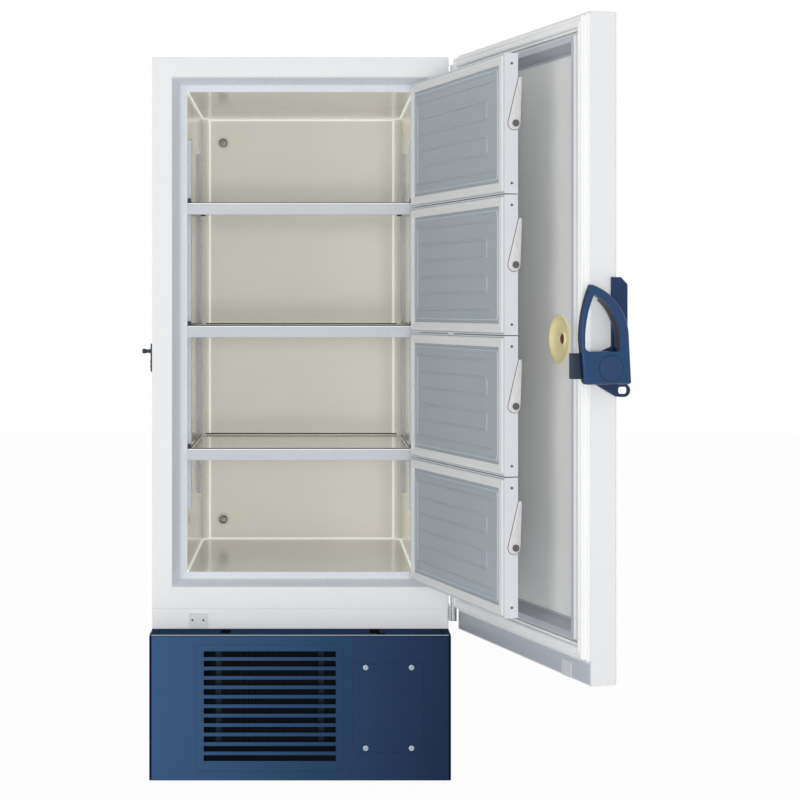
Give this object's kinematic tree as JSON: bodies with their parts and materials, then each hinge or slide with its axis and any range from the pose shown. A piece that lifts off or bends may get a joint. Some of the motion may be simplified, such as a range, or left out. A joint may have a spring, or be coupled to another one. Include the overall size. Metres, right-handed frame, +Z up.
{
  "type": "ultra low temperature freezer",
  "caption": "Upright laboratory freezer with an insulated outer door, stacked inner doors, lever handle, shelves and a louvred plant base.",
  "frame": {"origin": "on the floor, below the middle of the cabinet's front face", "axes": "+X to the right along the front, +Y into the cabinet, +Z up"},
  "size_m": [1.209, 1.7441, 1.98],
  "materials": {
    "white_paint": "satin",
    "blue_paint": "satin",
    "blue_plastic": "satin",
    "foam": "matte",
    "liner_steel": "satin",
    "collar_plastic": "satin",
    "door_plastic": "satin",
    "panel_grey": "satin",
    "inner_panel": "satin",
    "inner_shell": "satin",
    "gasket": "matte",
    "steel": "satin",
    "copper": "satin",
    "cream_plastic": "satin",
    "grey_plastic": "matte",
    "black_plastic": "matte",
    "display_glass": "gloss",
    "fin_aluminium": "matte",
    "black_steel": "satin",
    "compressor_iron": "satin",
    "caster_rubber": "matte"
  },
  "bodies": {
    "cabinet": {"cabinet_shell": "white_paint", "front_rail": "white_paint", "sensor_plate": "grey_plastic", "breaker_collar": "collar_plastic", "inner_liner": "liner_steel", "evaporator_coil": "copper", "cabinet_foam": "foam", "access_ports": "grey_plastic", "port_plugs": "grey_plastic", "shelf_standards": "steel", "shelf_clips": "black_plastic", "shelf_trays": "steel", "shelf_fronts": "collar_plastic", "hinge_brackets": "steel", "inner_hinge_rod": "steel", "lock_striker": "black_steel", "base_frame": "blue_paint", "base_front_panel": "blue_paint", "louvre_grille": "blue_paint", "service_cover": "blue_paint", "cover_screws": "steel", "condenser": "fin_aluminium", "fan_motor": "black_steel", "compressors": "compressor_iron", "control_box": "white_paint", "rear_grille": "blue_paint", "power_inlet": "black_plastic", "caster_forks": "steel"},
    "outer_door": {"door_shell": "white_paint", "door_foam": "foam", "door_liner": "door_plastic", "door_panel": "panel_grey", "door_gasket": "gasket", "pressure_port": "cream_plastic", "door_sensor_plate": "grey_plastic", "control_panel": "display_glass", "door_hinge_arms": "steel", "handle_bracket": "blue_plastic"},
    "handle": {"handle_lever": "blue_plastic"},
    "fan": {"fan_blade": "black_plastic"},
    "inner_door_1": {"inner_door_1_shell": "inner_shell", "inner_door_1_panel": "inner_panel", "inner_door_1_gasket": "gasket"},
    "inner_latch_1": {"inner_door_1_latch": "inner_shell"},
    "inner_door_2": {"inner_door_2_shell": "inner_shell", "inner_door_2_panel": "inner_panel", "inner_door_2_gasket": "gasket"},
    "inner_latch_2": {"inner_door_2_latch": "inner_shell"},
    "inner_door_3": {"inner_door_3_shell": "inner_shell", "inner_door_3_panel": "inner_panel", "inner_door_3_gasket": "gasket"},
    "inner_latch_3": {"inner_door_3_latch": "inner_shell"},
    "inner_door_4": {"inner_door_4_shell": "inner_shell", "inner_door_4_panel": "inner_panel", "inner_door_4_gasket": "gasket"},
    "inner_latch_4": {"inner_door_4_latch": "inner_shell"},
    "foot_left": {"foot_left": "black_plastic"},
    "wheel_left": {"caster_wheel_left": "caster_rubber"},
    "foot_right": {"foot_right": "black_plastic"},
    "wheel_right": {"caster_wheel_right": "caster_rubber"}
  },
  "joints": [
    {"name": "outer_door_hinge", "type": "hinge", "parent": "cabinet", "child": "outer_door", "pos_m": [0.4205, -0.012, 1.2], "axis": [0, 0, 1], "range_deg": [-107.5, 16]},
    {"name": "handle_pivot", "type": "hinge", "parent": "outer_door", "child": "handle", "pos_m": [0.71284, -0.81946, 1.152], "axis": [-0.3007, 0.9537, 0], "range_deg": [0, 70]},
    {"name": "fan_spin", "type": "hinge", "parent": "cabinet", "child": "fan", "pos_m": [-0.082, 0.004, 0.239], "axis": [0, 1, 0], "continuous": true},
    {"name": "inner_door_1_hinge", "type": "hinge", "parent": "cabinet", "child": "inner_door_1", "pos_m": [0.334, 0.004, 1.73554], "axis": [0, 0, 1], "range_deg": [-106.75, 15.98]},
    {"name": "inner_latch_1_pivot", "type": "hinge", "parent": "inner_door_1", "child": "inner_latch_1", "pos_m": [0.51987, -0.63295, 1.73554], "axis": [-0.2874, 0.9578, 0], "range_deg": [0, 60]},
    {"name": "inner_door_2_hinge", "type": "hinge", "parent": "cabinet", "child": "inner_door_2", "pos_m": [0.334, 0.004, 1.39501], "axis": [0, 0, 1], "range_deg": [-106.75, 15.98]},
    {"name": "inner_latch_2_pivot", "type": "hinge", "parent": "inner_door_2", "child": "inner_latch_2", "pos_m": [0.51987, -0.63295, 1.39501], "axis": [-0.2874, 0.9578, 0], "range_deg": [0, 60]},
    {"name": "inner_door_3_hinge", "type": "hinge", "parent": "cabinet", "child": "inner_door_3", "pos_m": [0.334, 0.004, 1.05449], "axis": [0, 0, 1], "range_deg": [-106.75, 15.98]},
    {"name": "inner_latch_3_pivot", "type": "hinge", "parent": "inner_door_3", "child": "inner_latch_3", "pos_m": [0.51987, -0.63295, 1.05449], "axis": [-0.2874, 0.9578, 0], "range_deg": [0, 60]},
    {"name": "inner_door_4_hinge", "type": "hinge", "parent": "cabinet", "child": "inner_door_4", "pos_m": [0.334, 0.004, 0.71396], "axis": [0, 0, 1], "range_deg": [-106.75, 15.98]},
    {"name": "inner_latch_4_pivot", "type": "hinge", "parent": "inner_door_4", "child": "inner_latch_4", "pos_m": [0.51987, -0.63295, 0.71396], "axis": [-0.2874, 0.9578, 0], "range_deg": [0, 60]},
    {"name": "wheel_left_spin", "type": "hinge", "parent": "cabinet", "child": "wheel_left", "pos_m": [-0.3295, 0.78, 0.0375], "axis": [1, 0, 0], "continuous": true},
    {"name": "foot_left_screw", "type": "hinge", "parent": "cabinet", "child": "foot_left", "pos_m": [-0.3395, 0.01, 0.105], "axis": [0, 0, 1], "range_deg": [-360, 360]},
    {"name": "wheel_right_spin", "type": "hinge", "parent": "cabinet", "child": "wheel_right", "pos_m": [0.3295, 0.78, 0.0375], "axis": [1, 0, 0], "continuous": true},
    {"name": "foot_right_screw", "type": "hinge", "parent": "cabinet", "child": "foot_right", "pos_m": [0.3395, 0.01, 0.105], "axis": [0, 0, 1], "range_deg": [-360, 360]}
  ],
  "couplings": [
    {"joint": "inner_door_1_hinge", "follows": "outer_door_hinge", "ratio": 0.99256},
    {"joint": "inner_door_2_hinge", "follows": "outer_door_hinge", "ratio": 0.99256},
    {"joint": "inner_door_3_hinge", "follows": "outer_door_hinge", "ratio": 0.99256},
    {"joint": "inner_door_4_hinge", "follows": "outer_door_hinge", "ratio": 0.99256}
  ]
}
